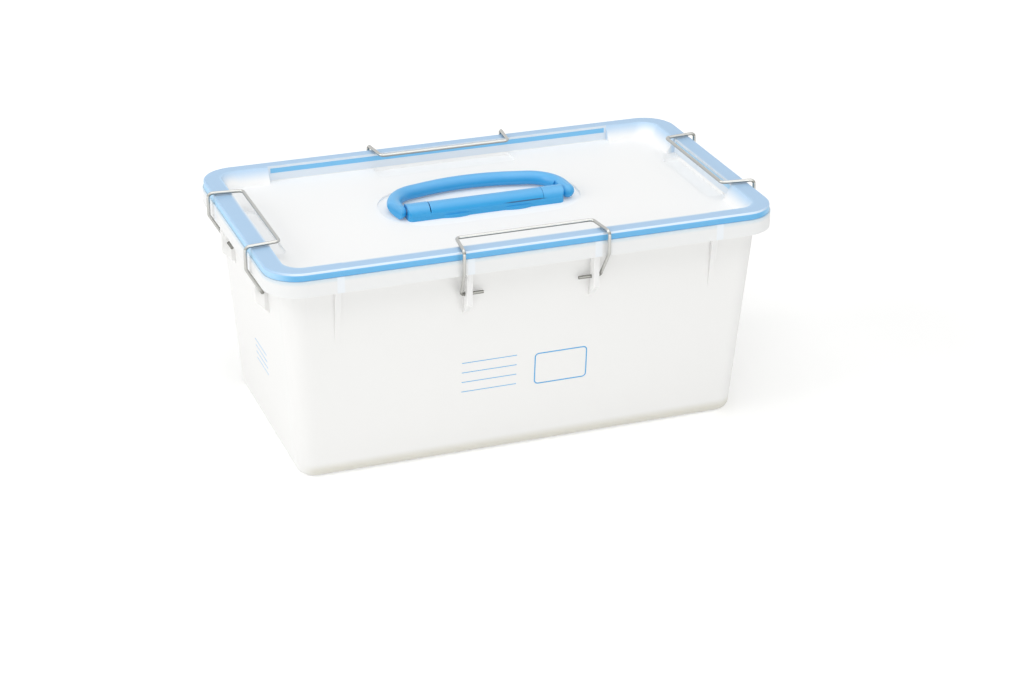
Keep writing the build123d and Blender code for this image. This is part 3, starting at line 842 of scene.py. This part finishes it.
class BOX_OT_stage(bpy.types.Operator):
    """Sets the pale floor, the soft studio light and the camera"""
    bl_idname = "box.stage"
    bl_label = "Stage"

    def execute(self, context):
        look = settings().stage
        self.floor(look)
        self.light(look)
        self.camera()
        context.scene.view_settings.view_transform = "Standard"
        return {"FINISHED"}

    def floor(self, look):
        """A flat pale floor, lighter far away, with painted light beside the front and left of the foot that
        hides the contact shadow there.
        """
        mesh = bpy.data.meshes.new("floor")
        corners = [(x * FLOOR_HALF, y * FLOOR_HALF, FLOOR_LEVEL)
                   for x, y in ((-1, -1), (1, -1), (1, 1), (-1, 1))]
        mesh.from_pydata(corners, [], [(0, 1, 2, 3)])
        floor = bpy.data.objects.new("floor", mesh)
        bpy.context.scene.collection.objects.link(floor)
        material, tree, shader, axes = new_material("Pale floor")
        tree.nodes.remove(shader)
        grain = put(tree, "ShaderNodeTexNoise", {"Scale": 3.0, "Detail": 2.0}).outputs[0]
        tone = blend(tree, calc(tree, "MULTIPLY", grain, 0.02), look.floor, FLOOR_GRAIN)
        matt = put(tree, "ShaderNodeBsdfDiffuse", {"Color": tone})
        away = put(tree, "ShaderNodeVectorMath", {0: put(tree, "ShaderNodeTexCoord").outputs["Object"]},
                   operation="LENGTH").outputs["Value"]
        spread = calc(tree, "MULTIPLY_ADD", step(tree, away, *FAR), look.far_lift - look.lift, look.lift)
        # Painted light beside the front and left of the foot, hiding the contact shadow there
        painted_light_sides = calc(tree, "MAXIMUM", step(tree, axes[1], *PAINTED_LIGHT_FRONT),
                        step(tree, axes[0], *PAINTED_LIGHT_LEFT))
        beside = step(tree, inset_from(tree, WALL_INSET[0], WALL_INSET[0]), *NEAR_INSET)
        spread = calc(tree, "MULTIPLY_ADD", calc(tree, "MULTIPLY", beside, painted_light_sides), look.painted_near_light, spread)
        shown = calc(tree, "MULTIPLY", seen_straight(tree), spread)
        lift = put(tree, "ShaderNodeEmission", {"Strength": shown})
        both = put(tree, "ShaderNodeAddShader", {0: matt.outputs[0], 1: lift.outputs[0]})
        tree.links.new(both.outputs[0], tree.nodes["Material Output"].inputs["Surface"])
        mesh.materials.append(material)

    def light(self, look):
        """A soft surround and four square lamps."""
        world = bpy.data.worlds.new("Soft surround")
        world.use_nodes = True
        bpy.context.scene.world = world
        tree = world.node_tree
        strength = calc(tree, "MULTIPLY_ADD", seen_straight(tree), 1.0 - look.sky, look.sky)
        tree.links.new(strength, tree.nodes["Background"].inputs["Strength"])
        tree.nodes["Background"].inputs["Color"].default_value = (*WHITE, 1.0)
        for name, place, side, setting, share in LAMPS:
            data = bpy.data.lights.new(name, "AREA")
            data.size = side
            data.energy = share * getattr(look, setting)
            lamp = bpy.data.objects.new(name, data)
            lamp.location = place
            lamp.rotation_euler = (LAMP_AIM - Vector(place)).to_track_quat("-Z", "Y").to_euler()
            bpy.context.scene.collection.objects.link(lamp)

    def camera(self):
        """A camera placed and turned like the one that took the photograph."""
        azimuth, elevation, roll = (math.radians(a) for a in (VIEW_AZIMUTH, VIEW_ELEVATION, VIEW_ROLL))
        back = Vector((math.sin(azimuth) * math.cos(elevation), -math.cos(azimuth) * math.cos(elevation),
                       math.sin(elevation)))
        level = Vector((math.cos(azimuth), math.sin(azimuth), 0.0))
        up = back.cross(level)
        right = math.cos(roll) * level + math.sin(roll) * up
        up = math.cos(roll) * up - math.sin(roll) * level
        data = bpy.data.cameras.new("camera")
        data.sensor_width = SENSOR_WIDTH
        data.lens = VIEW_FOCAL * SENSOR_WIDTH / FRAME_PIXELS
        data.clip_end = 100.0
        camera = bpy.data.objects.new("camera", data)
        turn = Matrix((right, up, back)).transposed().to_4x4()
        place = right * VIEW_OFFSET[0] + up * VIEW_OFFSET[1] + back * VIEW_DISTANCE
        camera.matrix_world = Matrix.Translation(place) @ turn
        bpy.context.scene.collection.objects.link(camera)
        bpy.context.scene.camera = camera


# --------------------------------------------------------------------------------------------------
# Add-on

PIECES = (BOX_OT_tub, BOX_OT_lid, BOX_OT_seal, BOX_OT_handle, BOX_OT_hardware, BOX_OT_clips, BOX_OT_marks,
          BOX_OT_stage)
GROUPS = ("tub", "lid", "seal", "handle", "clips", "marks", "stage")


class BOX_PT_panel(bpy.types.Panel):
    """Lists the pieces of the transport box with their sizes and colours"""
    bl_label = "Transport box"
    bl_idname = "BOX_PT_panel"
    bl_space_type = "VIEW_3D"
    bl_region_type = "UI"
    bl_category = "Transport box"

    def draw(self, context):
        for piece in PIECES:
            self.layout.operator(piece.bl_idname)
        for group in GROUPS:
            values = getattr(context.scene.transport_box, group)
            column = self.layout.column(heading=group.title())
            for name in values.__annotations__:
                column.prop(values, name)


CLASSES = (TubSettings, LidSettings, SealSettings, HandleSettings, ClipSettings, MarkSettings, StageSettings,
           BoxSettings, *PIECES, BOX_PT_panel)


def register():
    for item in CLASSES:
        bpy.utils.register_class(item)
    bpy.types.Scene.transport_box = PointerProperty(type=BoxSettings)


def unregister():
    del bpy.types.Scene.transport_box
    for item in reversed(CLASSES):
        bpy.utils.unregister_class(item)


def main():
    register()
    for piece in PIECES:
        group, name = piece.bl_idname.split(".")
        getattr(getattr(bpy.ops, group), name)()


if __name__ == "__main__":
    main()
